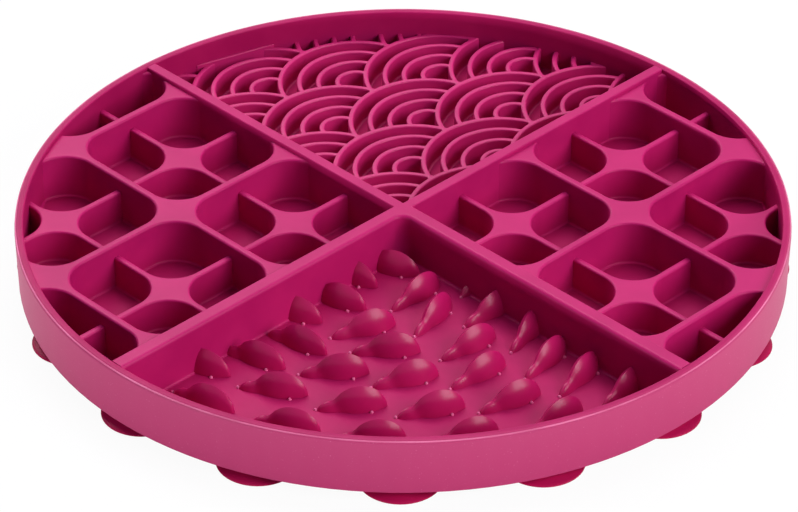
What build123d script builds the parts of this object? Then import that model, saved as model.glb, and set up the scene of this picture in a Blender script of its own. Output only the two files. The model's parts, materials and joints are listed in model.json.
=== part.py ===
from build123d import *
import math
import os

# Round lick mat of soft rubber. X and Y run along the cross ribs, Z is up, the cup lips stand on Z = 0.

# Tray
plate_radius = 100.0
plate_height = 15.5
floor_thickness = 2.0
rim_width = 2.3
rim_draft = 0.3
rim_outer_round = 1.1
rim_inner_round = 0.4

# Cross ribs
back_rib_width = 3.0
front_rib_width = 4.0
rib_edge_round = 0.4
front_edge_round = 1.1
front_corner_radius = 3.0

# Pocket grids of the two side fields
cell_count = 2
edge_strip = 13.4
grid_wall = 2.3
grid_step = 1.2
star_hollow_radius = 8.7
cell_wall = 1.9
cell_cross_step = 4.8
edge_lap = 0.3

# Fish-scale field
scale_radius = 21.6
scale_half_pitch = 19.2
scale_row_pitch = 13.95
scale_first_x = 3.5
scale_first_y = 5.0
ridge_count = 4
ridge_pitch = 5.25
ridge_width = 1.4
ridge_height = 6.5

# Nubs of the front field
nub_half_length = 7.0
nub_half_width = 2.7
nub_crest_width = 0.8
nub_sink = 0.6
tail_half_length = 4.6
tail_half_width = 1.9
tail_crest_width = 0.8
tail_sink = 2.0
tail_reach = 6.55

# Suction cups
cup_count = 16
cup_inset = 10.0
cup_lip_radius = 10.6
cup_lip_height = 0.6
cup_lip_width = 1.2
cup_drop = 3.0
cup_neck_radius = 5.0
cup_neck_height = 0.5
cup_roof = 1.2
cup_hollow_radius = 3.0

overrun = 5.0

# Levels and radii that follow from the sizes above
base_z = cup_drop
floor_z = base_z + floor_thickness
rim_z = base_z + plate_height
inner_radius = plate_radius - rim_width
grid_z = rim_z - grid_step
cross_z = rim_z - cell_cross_step
field_side = plate_radius + overrun
cell_pitch = (inner_radius - edge_strip + back_rib_width / 2) / cell_count
first_wall = cell_pitch - back_rib_width / 2
edge_corner_radius = edge_strip - grid_wall / 2 - star_hollow_radius
cup_ring_radius = plate_radius - cup_inset

# Nub places, row by row towards the rim: distance from the middle of the mat as a share of the plate radius,
# degrees round from the middle of the front field, and degrees of lean from the ring's own direction
front_middle_deg = 225.0
nub_place_shares = (
    (0.095, -24, 5),
    (0.185, -48, 15),
    (0.29, -36, 12),
    (0.215, 9, 37),
    (0.245, 55, 0),
    (0.405, -44, 20),
    (0.375, -15, 37),
    (0.32, 14, 45),
    (0.36, 38, 5),
    (0.495, -32, 2),
    (0.455, -5, 8),
    (0.465, 21, 17),
    (0.49, 40, 22),
    (0.61, -37, 11),
    (0.57, -17, 21),
    (0.575, 1, 18),
    (0.585, 19, 20),
    (0.61, 36, 18),
    (0.725, -44, 20),
    (0.695, -27, 17),
    (0.695, -10, 17),
    (0.705, 6, 10),
    (0.715, 22, 8),
    (0.715, 38, 18),
    (0.825, -36, 8),
    (0.815, -20, 6),
    (0.82, -5, 7),
    (0.825, 11, 8),
    (0.83, 27, 12),
    (0.825, 42, 8),
)


def turned(points, rounds):
    """Solid of revolution about Z from (radius, height) points, with chosen corners rounded."""
    outline = make_face(Polyline(*points, close=True))
    for point, radius in rounds:
        corner = outline.vertices().sort_by_distance((*point, 0))[0]
        outline = fillet(corner, radius)
    return revolve(Plane.XZ * outline, Axis.Z)


def raised(sketch, low, high):
    """Straight-sided solid over a plan sketch, between two levels."""
    return extrude(Pos(0, 0, low) * sketch, high - low)


def tray():
    """Floor disc and rim wall in one turned piece."""
    foot = (plate_radius - rim_draft, base_z)
    outer_edge = (plate_radius, rim_z)
    inner_edge = (inner_radius, rim_z)
    points = [(0, base_z), foot, outer_edge, inner_edge, (inner_radius, floor_z), (0, floor_z)]
    return turned(points, [(outer_edge, rim_outer_round), (inner_edge, rim_inner_round)])


def rib_plan():
    """Plan of the four ribs, with the front field's corner rounded."""
    reach = field_side
    half = reach / 2
    plan = Pos(half, 0) * Rectangle(reach, back_rib_width)
    plan += Pos(0, half) * Rectangle(back_rib_width, reach)
    plan += Pos(-half, 0) * Rectangle(reach, front_rib_width)
    plan += Pos(0, -half) * Rectangle(front_rib_width, reach)
    front_corner = (-front_rib_width / 2, -front_rib_width / 2, 0)
    corner = plan.vertices().sort_by_distance(front_corner)[0]
    return fillet(corner, front_corner_radius)


def field_plan(sign_x, sign_y):
    """Plan of one field: a quarter of the tray inside the rim, less the ribs."""
    quarter = Pos(sign_x * field_side / 2, sign_y * field_side / 2) * Rectangle(field_side, field_side)
    return (quarter & Circle(inner_radius)) - rib_plan()


def front_top_edges(ribs):
    """Edges of the rib tops that border the front field."""
    top = ribs.faces().sort_by(Axis.Z)[-1]
    return top.edges().filter_by(lambda edge: edge.center().X < 0 and edge.center().Y < 0)


def divider_cross():
    """Four ribs as high as the rim, with rounded top edges, more so along the front field."""
    ribs = raised(rib_plan() & Circle(inner_radius), floor_z, rim_z)
    ribs = fillet(front_top_edges(ribs), front_edge_round)
    top = ribs.faces().sort_by(Axis.Z)[-1]
    straight = top.edges().filter_by(GeomType.LINE)
    others = straight.filter_by(lambda edge: edge.center().X > 0 or edge.center().Y > 0)
    return fillet(others, rib_edge_round)


def grid_line(number):
    """Place of a grid wall's middle, counted from the rib, along either axis of a side field."""
    return first_wall + (number - 1) * cell_pitch if number else 0


def cell_opening(column, row):
    """Rounded opening between grid walls, with a sharp corner only at the middle of the mat."""
    low_x, high_x = grid_line(column), grid_line(column + 1)
    low_y, high_y = grid_line(row), grid_line(row + 1)
    middle = Pos((low_x + high_x) / 2, (low_y + high_y) / 2)
    length = high_x - low_x - grid_wall
    width = high_y - low_y - grid_wall
    opening = middle * RectangleRounded(length, width, star_hollow_radius)
    if column == 0 and row == 0:
        opening += Pos(first_wall / 4, first_wall / 4) * Rectangle(first_wall / 2, first_wall / 2)
    return opening


def cell_cross(column, row):
    """Two thin walls that cross at a hollow-sided star, one star a pitch from the next."""
    star_reach = star_hollow_radius + cell_wall / 2
    star = Rectangle(2 * star_reach, 2 * star_reach)
    for x, y in ((1, 1), (1, -1), (-1, 1), (-1, -1)):
        star -= Pos(x * star_reach, y * star_reach) * Circle(star_hollow_radius)
    cross = star + Rectangle(cell_pitch, cell_wall) + Rectangle(cell_wall, cell_pitch)
    return Pos(grid_line(column + 1) - cell_pitch / 2, grid_line(row + 1) - cell_pitch / 2) * cross


def grid_cells():
    """Column and row of each cell whose opening reaches well inside the rim."""
    count = math.ceil(inner_radius / first_wall)
    corner_cut = grid_wall / 2 + star_hollow_radius * (1 - math.sqrt(0.5))
    cells = []
    for column in range(count):
        for row in range(count):
            nearest = math.hypot(grid_line(column) + corner_cut, grid_line(row) + corner_cut)
            if nearest < inner_radius - grid_wall:
                cells.append((column, row))
    return cells


def edge_opening(opening, field):
    """Opening at a rib's end, cut just past the rib and the rim, with the corner between them rounded."""
    opening &= offset(field, edge_lap, kind=Kind.INTERSECTION)
    corner = opening.vertices().sort_by(lambda vertex: max(abs(vertex.X), abs(vertex.Y)))[-1]
    return fillet(corner, edge_corner_radius)


def side_field(field, turn):
    """Grid of one side field, and the lower crosses in its cells, turned from the +X +Y quarter."""
    grid_plan = field
    crosses = []
    for column, row in grid_cells():
        opening = turn * cell_opening(column, row)
        if 0 in (column, row) and cell_count in (column, row):
            opening = edge_opening(opening, field)
        grid_plan -= opening
        cross_plan = (turn * cell_cross(column, row)) & opening & field
        crosses += raised(cross_plan, floor_z, cross_z).solids()
    return raised(grid_plan, floor_z, grid_z).solids(), crosses


def scale_places():
    """Middles of the fish scales, each row shifted by half a pitch, front rows first."""
    rows = math.ceil(plate_radius / scale_row_pitch)
    columns = math.ceil(plate_radius / scale_half_pitch)
    places = []
    for row in range(-1, rows):
        for column in range(-1, columns + 1):
            x = scale_first_x + column * scale_half_pitch
            y = scale_first_y + row * scale_row_pitch
            if (row + column) % 2 == 0 and math.hypot(x, y) < plate_radius + scale_radius:
                places.append((x, y))
    return places


def scale_plan(x, y):
    """Ridges of one scale that the three scales in front of it leave to view."""
    ridges = Sketch()
    for ring in range(ridge_count):
        outer = scale_radius - ring * ridge_pitch
        ridges += Circle(outer) - Circle(outer - ridge_width)
    for step_x, step_y in ((-1, -1), (1, -1), (0, -2)):
        ridges -= Pos(step_x * scale_half_pitch, step_y * scale_row_pitch) * Circle(scale_radius)
    return Pos(x, y) * ridges


def scale_ridges():
    """Fish-scale field: every scale's ridges, trimmed by the ribs and the rim."""
    plan = Sketch()
    for x, y in scale_places():
        plan += scale_plan(x, y)
    return raised(plan & field_plan(1, 1), floor_z, floor_z + ridge_height)


def disc_on_edge(half_length, half_width, crest_width):
    """Flat round body on edge along X: two shallow domes back to back, with a narrow crest round the rim."""
    crown = half_width - crest_width / 2
    dome_radius = (half_length**2 + crown**2) / (2 * crown)
    section = Pos(half_length / 2, 0) * Rectangle(half_length, 2 * half_width)
    for side in (1, -1):
        section &= Pos(0, side * (half_width - dome_radius)) * Circle(dome_radius)
    return revolve(section, Axis.Y)


def nub():
    """Comma-shaped nub along X, its tail towards -X, with its middle at the origin and its foot sunk."""
    tail_end = tail_reach + math.sqrt(tail_half_length**2 - tail_sink**2)
    middle = (tail_end - nub_half_length) / 2
    body = Pos(middle, 0, -nub_sink) * disc_on_edge(nub_half_length, nub_half_width, nub_crest_width)
    tail = disc_on_edge(tail_half_length, tail_half_width, tail_crest_width)
    return body + Pos(middle - tail_reach, 0, -tail_sink) * tail


def lick_nubs():
    """Nubs in rows about the middle, trimmed by the field's walls and floor."""
    well = raised(field_plan(-1, -1), floor_z, rim_z)
    nubs = []
    for share, angle, lean in nub_place_shares:
        place = Rot(0, 0, front_middle_deg + angle) * Pos(share * plate_radius, 0, floor_z)
        nubs += ((place * Rot(0, 0, 90 + lean) * nub()) & well).solids()
    return nubs


def suction_cup():
    """Bell with a short neck and a flat lip, hollow below."""
    lip_inner = cup_lip_radius - cup_lip_width
    points = [
        (0, base_z),
        (cup_neck_radius, base_z),
        (cup_neck_radius, base_z - cup_neck_height),
        (cup_lip_radius, cup_lip_height),
        (cup_lip_radius, 0),
        (lip_inner, 0),
        (cup_hollow_radius, base_z - cup_roof),
        (0, base_z - cup_roof),
    ]
    return turned(points, [])


def write(name, solids):
    """One file for a node: a single solid, or a group of separate ones."""
    shape = Compound(children=list(solids)) if len(solids) > 1 else solids[0]
    export_step(shape, f"parts/{name}.step")


os.makedirs("parts", exist_ok=True)
write("tray", tray().solids())
write("divider_cross", divider_cross().solids())
for side, sign in (("left", -1), ("right", 1)):
    grid, crosses = side_field(field_plan(sign, -sign), Rot(0, 0, -sign * 90))
    write(f"pocket_grid_{side}", grid)
    write(f"pocket_crosses_{side}", crosses)
write("scale_ridges", scale_ridges().solids())
write("lick_nubs", lick_nubs())
cup = suction_cup()
for number in range(cup_count):
    place = Rot(0, 0, number * 360 / cup_count) * Pos(cup_ring_radius, 0)
    write(f"suction_cup_{number + 1:02}", (place * cup).solids())
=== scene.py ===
import json
import math

import bmesh
import bpy
from mathutils import Matrix, Vector
from mathutils.bvhtree import BVHTree


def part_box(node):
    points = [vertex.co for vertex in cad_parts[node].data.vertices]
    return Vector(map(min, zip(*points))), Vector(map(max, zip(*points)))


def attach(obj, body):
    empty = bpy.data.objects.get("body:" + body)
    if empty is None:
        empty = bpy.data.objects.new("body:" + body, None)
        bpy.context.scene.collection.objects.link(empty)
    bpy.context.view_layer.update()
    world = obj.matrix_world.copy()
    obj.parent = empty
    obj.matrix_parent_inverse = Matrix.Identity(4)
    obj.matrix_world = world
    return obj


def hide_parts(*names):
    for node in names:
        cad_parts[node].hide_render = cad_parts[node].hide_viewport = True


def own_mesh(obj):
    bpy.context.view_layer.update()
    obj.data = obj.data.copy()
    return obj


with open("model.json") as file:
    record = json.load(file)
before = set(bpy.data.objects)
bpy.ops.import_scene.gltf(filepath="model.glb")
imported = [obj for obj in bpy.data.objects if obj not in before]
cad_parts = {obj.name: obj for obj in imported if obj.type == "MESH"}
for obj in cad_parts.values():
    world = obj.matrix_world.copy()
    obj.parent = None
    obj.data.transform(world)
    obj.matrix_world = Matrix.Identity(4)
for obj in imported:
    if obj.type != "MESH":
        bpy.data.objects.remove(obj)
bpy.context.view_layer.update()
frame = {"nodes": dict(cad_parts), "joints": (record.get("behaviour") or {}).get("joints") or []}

# A round silicone lick mat on suction cups. Lengths are in metres. The ribs lie on the axes: in the
# photograph, X runs to the back right and Y to the back left.

# Sizes that the frame gives
tray_low, tray_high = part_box("tray")
nubs_low, nubs_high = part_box("lick_nubs")
ridges_low, ridges_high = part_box("scale_ridges")
plate_radius = tray_high.x
inner_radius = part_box("divider_cross")[1].x
floor_level = nubs_low.z
back_half_rib, front_half_rib = ridges_low.x, -nubs_high.x

# Camera, as the photograph was taken: places in the picture in pixels, the sensor in millimetres
image_width = 798
image_middle = (399.0, 256.0)
axis_pixel = (403.0, 256.5)
focal_pixels = 3863.9
sensor_width = 36.0
camera_distance = 1.0054
camera_elevation = math.radians(34.51)
camera_azimuth = math.radians(-44.6)
camera_far = 20.0

# Lamps: width and height, power, degrees round from the camera's side, degrees up, and distance.
# The low strips stand on the floor and light mainly the tray's outer wall
soft_box, box_distance = (0.8, 0.8), 1.3
low_strip, strip_rise, strip_distance = (1.8, 0.12), 1.2, 3.0
lamps = {
    "right_front": (soft_box, 14.2, 58, 30, box_distance),
    "high_behind": (soft_box, 10.2, 172, 67, box_distance),
    "left_behind": (soft_box, 7.7, -150, 46, box_distance),
    "left_low": (low_strip, 42.0, -55, strip_rise, strip_distance),
    "right_low": (low_strip, 4.0, 30, strip_rise, strip_distance),
}

# Faint cool light on the mat from all round, beside the lamps
world_level = 0.12
world_colour = (0.2, 0.25, 1.0)

# Floor, and the share of plain white in it where it is seen directly
floor_half = 6.0
floor_colour = (0.9, 0.9, 0.9)
floor_roughness = 0.8
floor_white_share = 0.95

# Silicone: clouds from one shade to another, and a fine grain in gloss and surface
cloud_scale, cloud_detail = 60.0, 3.0
cloud_span = (0.35, 0.65)
grain_scale, grain_detail = 2200.0, 2.0
grain_depth = 0.00005
roughness_spread = 0.05

# Silicone of each part: dark shade, pale shade, roughness, specular level, strength of the grain
silicone_looks = {
    "mat": ((0.44, 0.007, 0.114), (0.5, 0.011, 0.132), 0.42, 0.15, 0.15),
    "tray": ((0.375, 0.006, 0.09), (0.435, 0.01, 0.107), 0.42, 0.1, 0.15),
    "nub": ((0.43, 0.006, 0.096), (0.48, 0.009, 0.111), 0.3, 0.24, 0.02),
    "ridge": ((0.48, 0.011, 0.128), (0.54, 0.015, 0.146), 0.42, 0.27, 0.15),
    # Pips: their pale shades are a painted highlight, so the small domes read as bright spots
    "pip": ((0.62, 0.09, 0.25), (0.7, 0.12, 0.3), 0.3, 0.3, 0.02),
    # Rim line: its pale shades are a painted highlight along the rim's outer edge
    "line": ((0.55, 0.08, 0.2), (0.72, 0.17, 0.33), 0.4, 0.2, 0.1),
    "cup": ((0.43, 0.005, 0.068), (0.47, 0.007, 0.078), 0.36, 0.12, 0.08),
}

# Tray's outer wall: paler over this share of the plate's radius, a painted reflection of the
# white floor, with faint specks of dust
painted_reflection_band = 0.012
painted_reflection_colour = (0.47, 0.05, 0.148)
dust_scale, dust_detail = 2600.0, 1.0
dust_span = (0.7, 0.9)
dust_colour = (0.7, 0.25, 0.4)

# Rounded top edges of the upright walls, and the fillet at their foot
grid_round = 0.0007
cross_round = 0.0006
ridge_round = 0.00045
foot_round = 0.0006
round_steps = 4
quarter_turns = [math.pi / 2 * step / round_steps for step in range(round_steps + 1)]

# How the walls' plan is read: the gap within which a wall is joined to another, the digits to which
# two corners are one, the bend below which an edge runs straight on, and the most that a sharp
# corner moves, in times the gap that its edges are set in
contact_gap = 0.00008
plan_digits = 7
straight_turn = 0.2
shift_limit = 3.0

# Bend from which an edge is shaded sharp
sharp_angle = math.radians(40)

# Fillets round the floor of each field, and how far a piece reaches into what it joins
hidden_depth = 0.0003
front_corner = 0.003
rim_steps = 48
corner_steps = 6

# Nubs: two flat round discs on edge, a body and a tail, with blended edges. A disc is where two
# balls overlap, each set apart from the nub's own plane and sunk below the floor. The search for a
# nub's surface goes out as far as nub_reach
front_middle = math.radians(225)
body_disc = {"radius": 0.0118, "apart": 0.0091, "sink": 0.0006}
tail_disc = {"radius": 0.0078, "apart": 0.0059, "sink": 0.0020}
body_place = 0.00185
tail_place = -0.0047
crest_blend = 0.0014
joint_blend = 0.0005
nub_reach = 0.012
search_steps = 30
nub_stations = 28
nub_angles = 14

# Moulding pips on the floor: two to a nub, placed along it and across it
pip_radius = 0.0005
pip_height = 0.0006
pip_sides = 8
pip_rises = (0, math.radians(25), math.radians(50), math.radians(75))
pip_places = ((0.0046, -0.0026), (-0.0090, 0))

# Fine line that the mould left on the rim's rounded outer edge
rim_round = 0.0011
line_radius = 0.0002
line_steps = 240
line_sides = 8

# Ledge along the rim at the left end of the back field: degrees round where it starts and stops,
# how far it stands out from the rim and above the ridges, and the share of its width at its ends
ledge_ends = (67, 81)
ledge_width = 0.0009
ledge_rise = 0.0008
ledge_round = 0.0003
ledge_end_share = 0.2
ledge_steps = 24

# Suction cup's outline from the top of the neck round the lip to the roof of the hollow: shares of
# the lip's radius and of the cup's height
cup_profile = (
    (0.47, 1.00),
    (0.47, 0.88),
    (0.49, 0.81),
    (0.54, 0.74),
    (0.65, 0.60),
    (0.80, 0.41),
    (0.93, 0.25),
    (0.98, 0.18),
    (1.00, 0.12),
    (1.00, 0.05),
    (0.985, 0.00),
    (0.90, 0.00),
    (0.88, 0.02),
    (0.70, 0.24),
    (0.45, 0.48),
    (0.28, 0.60),
)
cup_sides = 48

# Nub places, row by row towards the rim: share of the plate radius from the middle of the mat,
# degrees round from the middle of the front field, and degrees of lean from the ring's direction
nub_place_shares = (
    (0.095, -24, 5),
    (0.185, -48, 15),
    (0.29, -36, 12),
    (0.215, 9, 37),
    (0.245, 55, 0),
    (0.405, -44, 20),
    (0.375, -15, 37),
    (0.32, 14, 45),
    (0.36, 38, 5),
    (0.495, -32, 2),
    (0.455, -5, 8),
    (0.465, 21, 17),
    (0.49, 40, 22),
    (0.61, -37, 11),
    (0.57, -17, 21),
    (0.575, 1, 18),
    (0.585, 19, 20),
    (0.61, 36, 18),
    (0.725, -44, 20),
    (0.695, -27, 17),
    (0.695, -10, 17),
    (0.705, 6, 10),
    (0.715, 22, 8),
    (0.715, 38, 18),
    (0.825, -36, 8),
    (0.815, -20, 6),
    (0.82, -5, 7),
    (0.825, 11, 8),
    (0.83, 27, 12),
    (0.825, 42, 8),
)


# Camera and lamps

def stand_facing(thing, target, azimuth, elevation, distance):
    """Stand a camera or lamp so far round, so far up and so far away from a target, facing it."""
    flat = math.cos(elevation)
    direction = Vector((
        math.sin(azimuth) * flat,
        -math.cos(azimuth) * flat,
        math.sin(elevation),
    ))
    thing.location = target + direction * distance
    thing.rotation_euler = direction.to_track_quat("Z", "Y").to_euler()
    bpy.context.scene.collection.objects.link(thing)


def make_camera():
    """Long lens that faces the middle of the tray's underside, with the front field nearest."""
    data = bpy.data.cameras.new("camera")
    data.sensor_width = sensor_width
    data.lens = focal_pixels * sensor_width / image_width
    data.shift_x = (image_middle[0] - axis_pixel[0]) / image_width
    data.shift_y = (axis_pixel[1] - image_middle[1]) / image_width
    data.clip_end = camera_far
    camera = bpy.data.objects.new("camera", data)
    target = Vector((0, 0, tray_low.z))
    stand_facing(camera, target, camera_azimuth, camera_elevation, camera_distance)
    bpy.context.scene.camera = camera


def light(name, size, power, azimuth, elevation, distance):
    """Soft box that faces the middle of the mat."""
    data = bpy.data.lights.new(name, "AREA")
    data.shape = "RECTANGLE"
    data.size, data.size_y = size
    data.energy = power
    lamp = bpy.data.objects.new(name, data)
    turn = camera_azimuth + math.radians(azimuth)
    stand_facing(lamp, Vector((0, 0, 0)), turn, math.radians(elevation), distance)


# Shader nodes

def seen_directly(tree):
    """1 for what the camera sees itself or in a reflection, and 0 for light on the mat."""
    path = tree.nodes.new("ShaderNodeLightPath")
    total = path.outputs["Is Camera Ray"]
    for name in ("Is Glossy Ray", "Is Transmission Ray"):
        either = tree.nodes.new("ShaderNodeMath")
        either.operation = "MAXIMUM"
        tree.links.new(total, either.inputs[0])
        tree.links.new(path.outputs[name], either.inputs[1])
        total = either.outputs["Value"]
    return total


def noise(tree, place, scale, detail):
    """Noise from 0 to 1 over a place."""
    node = tree.nodes.new("ShaderNodeTexNoise")
    node.inputs["Scale"].default_value = scale
    node.inputs["Detail"].default_value = detail
    tree.links.new(place, node.inputs["Vector"])
    return node.outputs["Fac"]


def map_range(tree, value, source, target):
    """A value carried over from one range to another."""
    node = tree.nodes.new("ShaderNodeMapRange")
    for span, (start, end) in (("From", source), ("To", target)):
        node.inputs[f"{span} Min"].default_value = start
        node.inputs[f"{span} Max"].default_value = end
    tree.links.new(value, node.inputs["Value"])
    return node.outputs["Result"]


def tint(tree, shade, colour, share):
    """A shade that gives way to one colour by a share."""
    node = tree.nodes.new("ShaderNodeMixRGB")
    node.inputs["Color2"].default_value = (*colour, 1)
    tree.links.new(share, node.inputs["Fac"])
    tree.links.new(shade, node.inputs["Color1"])
    return node.outputs["Color"]


def new_material(name):
    """Material with a Principled shader, and its nodes and links."""
    material = bpy.data.materials.new(name)
    material.use_nodes = True
    tree = material.node_tree
    return material, tree, tree.nodes["Principled BSDF"]


# Floor and world

def make_floor():
    """Pale floor that the camera sees as white and that keeps the mat's shadow."""
    mesh = bpy.data.meshes.new("floor")
    corners = [(x * floor_half, y * floor_half, 0) for x, y in ((-1, -1), (1, -1), (1, 1), (-1, 1))]
    mesh.from_pydata(corners, [], [(0, 1, 2, 3)])
    floor = bpy.data.objects.new("floor", mesh)
    bpy.context.scene.collection.objects.link(floor)
    material, tree, shader = new_material("floor_white")
    shader.inputs["Base Color"].default_value = (*floor_colour, 1)
    shader.inputs["Roughness"].default_value = floor_roughness
    glow = tree.nodes.new("ShaderNodeEmission")
    share = tree.nodes.new("ShaderNodeMath")
    share.operation = "MULTIPLY"
    share.inputs[1].default_value = floor_white_share
    tree.links.new(seen_directly(tree), share.inputs[0])
    mix = tree.nodes.new("ShaderNodeMixShader")
    tree.links.new(share.outputs["Value"], mix.inputs["Fac"])
    tree.links.new(shader.outputs["BSDF"], mix.inputs[1])
    tree.links.new(glow.outputs["Emission"], mix.inputs[2])
    tree.links.new(mix.outputs["Shader"], tree.nodes["Material Output"].inputs["Surface"])
    mesh.materials.append(material)


def make_world():
    """White for the camera, and a faint cool light for the mat."""
    world = bpy.data.worlds.new("world")
    bpy.context.scene.world = world
    world.use_nodes = True
    tree = world.node_tree
    background = tree.nodes["Background"]
    seen = seen_directly(tree)
    colour = tree.nodes.new("ShaderNodeMixRGB")
    colour.inputs["Color1"].default_value = (*world_colour, 1)
    colour.inputs["Color2"].default_value = (1, 1, 1, 1)
    tree.links.new(seen, colour.inputs["Fac"])
    tree.links.new(colour.outputs["Color"], background.inputs["Color"])
    level = map_range(tree, seen, (0, 1), (world_level, 1))
    tree.links.new(level, background.inputs["Strength"])


# Materials

def silicone(name, dark, pale, roughness, gloss_level, grain_strength):
    """Satin moulded silicone: faint cloudy colour, and a fine grain in gloss and surface."""
    material, tree, shader = new_material(name)
    place = tree.nodes.new("ShaderNodeTexCoord").outputs["Object"]
    cloud = noise(tree, place, cloud_scale, cloud_detail)
    ramp = tree.nodes.new("ShaderNodeValToRGB")
    for i, shade in enumerate((dark, pale)):
        ramp.color_ramp.elements[i].position = cloud_span[i]
        ramp.color_ramp.elements[i].color = (*shade, 1)
    tree.links.new(cloud, ramp.inputs["Fac"])
    tree.links.new(ramp.outputs["Color"], shader.inputs["Base Color"])
    grain = noise(tree, place, grain_scale, grain_detail)
    spread = (roughness - roughness_spread, roughness + roughness_spread)
    tree.links.new(map_range(tree, grain, (0, 1), spread), shader.inputs["Roughness"])
    shader.inputs["Specular IOR Level"].default_value = gloss_level
    relief = tree.nodes.new("ShaderNodeBump")
    relief.inputs["Strength"].default_value = grain_strength
    relief.inputs["Distance"].default_value = grain_depth
    tree.links.new(grain, relief.inputs["Height"])
    tree.links.new(relief.outputs["Normal"], shader.inputs["Normal"])
    return material


def painted_reflection_and_dust(material):
    """Paler band on the tray's outer wall, a painted reflection of the white floor, with fine dust
    specks.
    """
    tree = material.node_tree
    base = tree.nodes["Principled BSDF"].inputs["Base Color"]
    place = tree.nodes.new("ShaderNodeTexCoord").outputs["Object"]
    plan = tree.nodes.new("ShaderNodeMapping")
    plan.inputs["Scale"].default_value = (1 / plate_radius, 1 / plate_radius, 0)
    tree.links.new(place, plan.inputs["Vector"])
    inward = tree.nodes.new("ShaderNodeTexGradient")
    inward.gradient_type = "SPHERICAL"
    tree.links.new(plan.outputs["Vector"], inward.inputs["Vector"])
    # Painted reflection: the outer wall turns paler, as if it mirrored the white floor
    outer = map_range(tree, inward.outputs["Fac"], (painted_reflection_band, 0), (0, 1))
    wall = tint(tree, base.links[0].from_socket, painted_reflection_colour, outer)
    dust = noise(tree, place, dust_scale, dust_detail)
    specks = map_range(tree, dust, dust_span, (0, 1))
    tree.links.new(outer, specks.node.inputs["To Max"])
    tree.links.new(tint(tree, wall, dust_colour, specks), base)


# Pieces

def add_piece(name, points, faces, node, material, body="plate"):
    """New piece, smooth over its rounded edges, in place of a CAD node where one is named."""
    mesh = bpy.data.meshes.new(name)
    mesh.from_pydata(points, [], faces)
    mesh.shade_smooth()
    mesh.set_sharp_from_angle(angle=sharp_angle)
    mesh.materials.append(material)
    piece = bpy.data.objects.new(name, mesh)
    bpy.context.scene.collection.objects.link(piece)
    normals = piece.modifiers.new("normals", "WEIGHTED_NORMAL")
    normals.keep_sharp = True
    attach(piece, body)
    if node:
        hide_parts(node)
    return piece


def circle(middle, radius, level, count):
    """Points round a level circle."""
    points = []
    for step in range(count):
        turn = 2 * math.pi * step / count
        x, y = radius * math.cos(turn), radius * math.sin(turn)
        points.append((middle.x + x, middle.y + y, level))
    return points


def band(here, there, count):
    """Faces between two closed rings of points, each ring given by its first point's number."""
    sides = [(side, (side + 1) % count) for side in range(count)]
    return [(here + a, there + a, there + b, here + b) for a, b in sides]


def inset_rings(plan, shifts, profile):
    """A plan's corners again for each step of a profile, which is a move inward and a level."""
    points = []
    for inset, level in profile:
        points += [(*(corner + shift * inset), level) for corner, shift in zip(plan, shifts)]
    return points


def corner_shift(before, after):
    """Move of a corner that sets the edges beside it, each (normal, gap), inward by their gaps."""
    (first, first_gap), (second, second_gap) = before, after
    turn = first.cross(second)
    if abs(turn) < straight_turn:
        return (first + second).normalized() * (first_gap + second_gap) / 2
    shift = Vector((
        (first_gap * second.y - second_gap * first.y) / turn,
        (second_gap * first.x - first_gap * second.x) / turn,
    ))
    return shift * min(1, shift_limit / max(shift.length, shift_limit))


# Upright walls

def world_points(name):
    """A CAD node's corners, in the world."""
    node = frame["nodes"][name]
    return [node.matrix_world @ vertex.co for vertex in node.data.vertices]


def surface_tree(names):
    """Search tree over the surfaces of some CAD nodes."""
    points, faces = [], []
    for name in names:
        start = len(points)
        points += world_points(name)
        for face in frame["nodes"][name].data.polygons:
            faces.append([start + i for i in face.vertices])
    return BVHTree.FromPolygons(points, faces)


def top_plan(name):
    """Plan of an upright-walled node: corners, triangles of its flat top, and its two levels."""
    points = world_points(name)
    low = min(point.z for point in points)
    high = max(point.z for point in points)
    numbers, corners, triangles = {}, [], []
    for face in frame["nodes"][name].data.polygons:
        places = [points[i] for i in face.vertices]
        if min(place.z for place in places) < high - contact_gap:
            continue
        triangle = []
        for place in places:
            key = (round(place.x, plan_digits), round(place.y, plan_digits))
            if key not in numbers:
                numbers[key] = len(corners)
                corners.append(Vector(key))
            triangle.append(numbers[key])
        triangles.append(triangle)
    return corners, triangles, low, high


def outline_edges(triangles):
    """Border edges of a patch of triangles, each with the patch on its left."""
    edges = {(triangle[i], triangle[(i + 1) % 3]) for triangle in triangles for i in range(3)}
    return [(a, b) for a, b in edges if (b, a) not in edges]


def rounded_walls(name, node, neighbours, edge_round, material):
    """Upright walls with rounded top edges and filleted feet, but not against a neighbour."""
    corners, triangles, low, high = top_plan(node)
    tree = surface_tree(neighbours)
    middle = (low + high) / 2
    before, after, following = {}, {}, {}
    for a, b in outline_edges(triangles):
        along = (corners[b] - corners[a]).normalized()
        place = (corners[a] + corners[b]) / 2
        free = tree.find_nearest((place.x, place.y, middle))[3] > contact_gap
        side = (Vector((-along.y, along.x)), 1.0 if free else 0.0)
        after[a], before[b], following[a] = side, side, b
    shifts = [corner_shift(before[i], after[i]) for i in range(len(corners))]
    profile = [
        (-foot_round * (1 - math.sin(turn)), low + foot_round * (1 - math.cos(turn)))
        for turn in quarter_turns
    ]
    profile += [
        (edge_round * (1 - math.cos(turn)), high - edge_round * (1 - math.sin(turn)))
        for turn in quarter_turns
    ]
    points, faces = inset_rings(corners, shifts, profile), []
    count = len(corners)
    top = (len(profile) - 1) * count
    for here in range(0, top, count):
        there = here + count
        faces += [(here + a, here + b, there + b, there + a) for a, b in following.items()]
    faces += [tuple(top + i for i in triangle) for triangle in triangles]
    faces += [tuple(reversed(triangle)) for triangle in triangles]
    add_piece(name, points, faces, node, material)


# Nubs and pips

def smooth_most(a, b, blend):
    """Greater of two values, with the step from one to the other blended."""
    near = max(blend - abs(a - b), 0) / blend
    return max(a, b) + near * near * blend / 4


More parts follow.
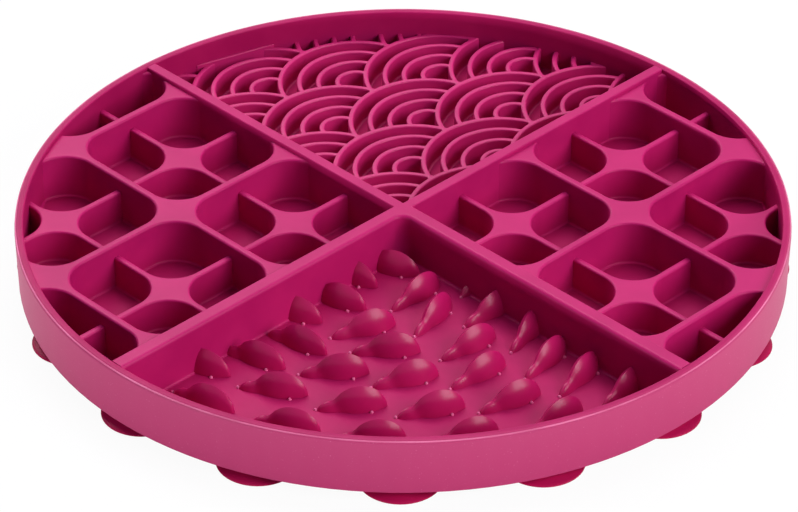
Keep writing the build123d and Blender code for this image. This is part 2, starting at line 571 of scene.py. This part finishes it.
def disc_depth(point, disc, place):
    """Distance outside a flat round disc on edge: where two balls side by side overlap."""
    sides = []
    for side in (1, -1):
        ball = Vector((place, -side * disc["apart"], -disc["sink"]))
        sides.append((point - ball).length - disc["radius"])
    return smooth_most(sides[0], sides[1], crest_blend)


def nub_depth(point):
    """Distance outside a nub, its body and tail blended into each other."""
    body = disc_depth(point, body_disc, body_place)
    tail = disc_depth(point, tail_disc, tail_place)
    return -smooth_most(-body, -tail, joint_blend)


def surface_reach(origin, direction):
    """How far a ray from inside a nub goes before it comes out."""
    inside, outside = 0.0, nub_reach
    for _ in range(search_steps):
        middle = (inside + outside) / 2
        if nub_depth(origin + direction * middle) < 0:
            inside = middle
        else:
            outside = middle
    return inside


def nub_shape():
    """Closed skin of one nub along X, as points and faces, on a flat foot at Z = 0."""
    start = Vector((body_place, 0, 0))
    head = start.x + surface_reach(start, Vector((1, 0, 0)))
    tail_start = Vector((tail_place, 0, 0))
    tail = tail_start.x - surface_reach(tail_start, Vector((-1, 0, 0)))
    points, faces = [(tail, 0, 0)], []
    for station in range(1, nub_stations):
        share = (1 - math.cos(math.pi * station / nub_stations)) / 2
        origin = Vector((tail + (head - tail) * share, 0, 0))
        for step in range(nub_angles + 1):
            turn = math.pi * step / nub_angles
            direction = Vector((0, math.cos(turn), math.sin(turn)))
            points.append(tuple(origin + direction * surface_reach(origin, direction)))
    points.append((head, 0, 0))
    row = nub_angles + 1
    for station in range(nub_stations - 2):
        base = 1 + station * row
        for step in range(nub_angles):
            faces.append((base + step, base + step + 1, base + row + step + 1, base + row + step))
        faces.append((base, base + row, base + 2 * row - 1, base + row - 1))
    last = len(points) - 1
    for step in range(nub_angles):
        faces.append((0, 2 + step, 1 + step))
        faces.append((last, last - row + step, last - row + step + 1))
    faces.append((0, 1, row))
    faces.append((last, last - 1, last - row))
    return points, faces


def nub_frames():
    """Place and turn of each nub, with X along the nub and Z up from its foot."""
    frames = []
    for share, angle, lean in nub_place_shares:
        turn = front_middle + math.radians(angle)
        middle = Vector((math.cos(turn), math.sin(turn), 0)) * share * plate_radius
        middle.z = floor_level
        heading = Matrix.Rotation(turn + math.radians(90 + lean), 4, "Z")
        frames.append(Matrix.Translation(middle) @ heading)
    return frames


def lick_nubs(material):
    """All nubs of the front field, cut off a little way inside a rib where they meet one."""
    shape, skin = nub_shape()
    rows = bmesh.new()
    for place in nub_frames():
        corners = [rows.verts.new(place @ Vector(point)) for point in shape]
        for face in skin:
            rows.faces.new([corners[i] for i in face])
    for axis in (Vector((1, 0, 0)), Vector((0, 1, 0))):
        parts = rows.verts[:] + rows.edges[:] + rows.faces[:]
        limit = axis * (nubs_high.dot(axis) + hidden_depth)
        bmesh.ops.bisect_plane(rows, geom=parts, plane_co=limit, plane_no=axis, clear_outer=True)
        bmesh.ops.holes_fill(rows, edges=[edge for edge in rows.edges if edge.is_boundary])
    rows.verts.index_update()
    points = [tuple(corner.co) for corner in rows.verts]
    faces = [tuple(corner.index for corner in face.verts) for face in rows.faces]
    rows.free()
    add_piece("lick_nub_rows", points, faces, "lick_nubs", material)


def add_pip(points, faces, spot):
    """Small moulding pip on the floor beside a nub: a closed dome."""
    start = len(points)
    for rise in pip_rises:
        level = spot.z + pip_height * math.sin(rise)
        points += circle(spot, pip_radius * math.cos(rise), level, pip_sides)
    top = len(points) - pip_sides
    for here in range(start, top, pip_sides):
        there = here + pip_sides
        for side in range(pip_sides):
            following = (side + 1) % pip_sides
            faces.append((here + side, here + following, there + following, there + side))
    faces.append(tuple(top + side for side in range(pip_sides)))
    faces.append(tuple(start + side for side in reversed(range(pip_sides))))


def nub_pips(material):
    """Two pips on the floor at each nub, one beside its body and one at the tip of its tail."""
    points, faces = [], []
    for place in nub_frames():
        for x, y in pip_places:
            spot = place @ Vector((x, y, 0))
            if max(spot.x - nubs_high.x, spot.y - nubs_high.y) < -pip_radius:
                add_pip(points, faces, spot)
    add_piece("nub_pips", points, faces, None, material)


# Floor fillets, rim and cups

def field_outline(sign_x, sign_y, half_x, half_y, corner):
    """Foot of the walls round one field: rim, rib along Y, corner of the ribs, rib along X."""
    reach_x = math.sqrt(inner_radius**2 - half_y**2)
    start, end = math.atan2(half_y, reach_x), math.acos(half_x / inner_radius)
    outline = []
    for step in range(rim_steps + 1):
        turn = start + (end - start) * step / rim_steps
        outline.append(Vector((math.cos(turn), math.sin(turn))) * inner_radius)
    middle = Vector((half_x + corner, half_y + corner))
    for step in range(corner_steps + 1 if corner else 1):
        turn = math.pi + math.pi / 2 * step / corner_steps
        outline.append(middle + Vector((math.cos(turn), math.sin(turn))) * corner)
    outline = [Vector((sign_x * place.x, sign_y * place.y)) for place in outline]
    return outline if sign_x * sign_y > 0 else outline[::-1]


def field_fillet(name, outline, material):
    """Small hollow fillet where the floor of a field meets its walls, as one closed ring."""
    count = len(outline)
    sides = []
    for i, place in enumerate(outline):
        along = (outline[(i + 1) % count] - place).normalized()
        sides.append((Vector((-along.y, along.x)), 1.0))
    shifts = [corner_shift(sides[i - 1], sides[i]) for i in range(count)]
    profile = [
        (foot_round * (1 - math.sin(turn)), floor_level + foot_round * (1 - math.cos(turn)))
        for turn in quarter_turns
    ]
    profile += [
        (-hidden_depth, floor_level + foot_round),
        (-hidden_depth, floor_level - hidden_depth),
        (foot_round, floor_level - hidden_depth),
    ]
    faces = []
    for ring in range(len(profile)):
        faces += band(ring * count, (ring + 1) % len(profile) * count, count)
    add_piece(name, inset_rings(outline, shifts, profile), faces, None, material)


def rim_line(material):
    """Fine raised line that the mould left half-way round the rim's outer top edge."""
    half_way = math.sqrt(0.5)
    reach = plate_radius - rim_round * (1 - half_way)
    level = tray_high.z - rim_round * (1 - half_way)
    points, faces = [], []
    for step in range(line_steps):
        turn = 2 * math.pi * step / line_steps
        for side in range(line_sides):
            tilt = 2 * math.pi * side / line_sides
            radius = reach + line_radius * math.cos(tilt)
            height = level + line_radius * math.sin(tilt)
            points.append((radius * math.cos(turn), radius * math.sin(turn), height))
    for step in range(line_steps):
        faces += band(step * line_sides, (step + 1) % line_steps * line_sides, line_sides)
    add_piece("rim_mould_line", points, faces, None, material)


def rim_ledge(material):
    """Low ledge on the rim's inner wall, where the back field's outermost ring runs along it."""
    bottom, top = floor_level - hidden_depth, ridges_high.z + ledge_rise
    points, faces = [], []
    for step in range(ledge_steps + 1):
        share = step / ledge_steps
        turn = math.radians(ledge_ends[0] + (ledge_ends[1] - ledge_ends[0]) * share)
        swell = ledge_end_share + (1 - ledge_end_share) * math.sin(math.pi * share)
        section = [(-hidden_depth, bottom), (-hidden_depth, top)]
        for lean in quarter_turns:
            inset = swell * (ledge_width - ledge_round * (1 - math.sin(lean)))
            section.append((inset, top - ledge_round * (1 - math.cos(lean))))
        section.append((swell * ledge_width, bottom))
        for inset, level in section:
            radius = inner_radius - inset
            points.append((radius * math.cos(turn), radius * math.sin(turn), level))
    count = len(section)
    last = ledge_steps * count
    for here in range(0, last, count):
        faces += band(here, here + count, count)
    faces.append(tuple(range(count)))
    faces.append(tuple(last + side for side in reversed(range(count))))
    add_piece("scale_rim_ledge", points, faces, None, material)


def soft_cup(number, material):
    """Suction cup with rounded lip that flattens up against the tray as it is pressed."""
    node = f"suction_cup_{number:02}"
    low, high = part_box(node)
    middle = (low + high) / 2
    radius, height = (high.x - low.x) / 2, high.z - low.z
    roof = low.z + height * cup_profile[-1][1]
    points, faces = [(middle.x, middle.y, high.z), (middle.x, middle.y, roof)], []
    for reach, rise in cup_profile:
        points += circle(middle, radius * reach, low.z + height * rise, cup_sides)
    last = len(points) - cup_sides
    for side in range(cup_sides):
        following = (side + 1) % cup_sides
        faces.append((0, 2 + side, 2 + following))
        faces.append((1, last + following, last + side))
    for here in range(2, last, cup_sides):
        faces += band(here, here + cup_sides, cup_sides)
    name, body = f"soft_cup_{number:02}", f"cup_{number:02}"
    cup = add_piece(name, points, faces, node, material, body)
    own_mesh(cup)


# The scene

bpy.context.scene.view_settings.view_transform = "Standard"
make_camera()
make_world()
make_floor()
for name, settings in lamps.items():
    light(name, *settings)

rubber = {part: silicone(f"{part}_silicone", *look) for part, look in silicone_looks.items()}
# Painted reflection of the white floor on the tray's outer wall, with dust specks
painted_reflection_and_dust(rubber["tray"])
for name, node in frame["nodes"].items():
    look = "cup" if name.startswith("suction_cup") else "mat"
    node.data.materials.clear()
    node.data.materials.append(rubber["tray" if name == "tray" else look])

walls = ("tray", "divider_cross")
for side in ("left", "right"):
    grid, crosses = f"pocket_grid_{side}", f"pocket_crosses_{side}"
    rounded_walls(f"{side}_grid_walls", grid, walls, grid_round, rubber["mat"])
    rounded_walls(f"{side}_cell_crosses", crosses, (*walls, grid), cross_round, rubber["mat"])
rounded_walls("fish_scale_ridges", "scale_ridges", walls, ridge_round, rubber["ridge"])
lick_nubs(rubber["nub"])
# Pips in pale silicone: a painted highlight
nub_pips(rubber["pip"])
# Rim's mould line in pale silicone: a painted highlight along the edge
rim_line(rubber["line"])
rim_ledge(rubber["ridge"])
for name, signs, half_ribs, corner in (
    ("back_floor_fillet", (1, 1), (back_half_rib, back_half_rib), 0),
    ("left_floor_fillet", (-1, 1), (back_half_rib, front_half_rib), 0),
    ("right_floor_fillet", (1, -1), (front_half_rib, back_half_rib), 0),
    ("front_floor_fillet", (-1, -1), (front_half_rib, front_half_rib), front_corner),
):
    field_fillet(name, field_outline(*signs, *half_ribs, corner), rubber["mat"])
for number, joint in enumerate(frame["joints"], start=1):
    soft_cup(number, rubber["cup"])
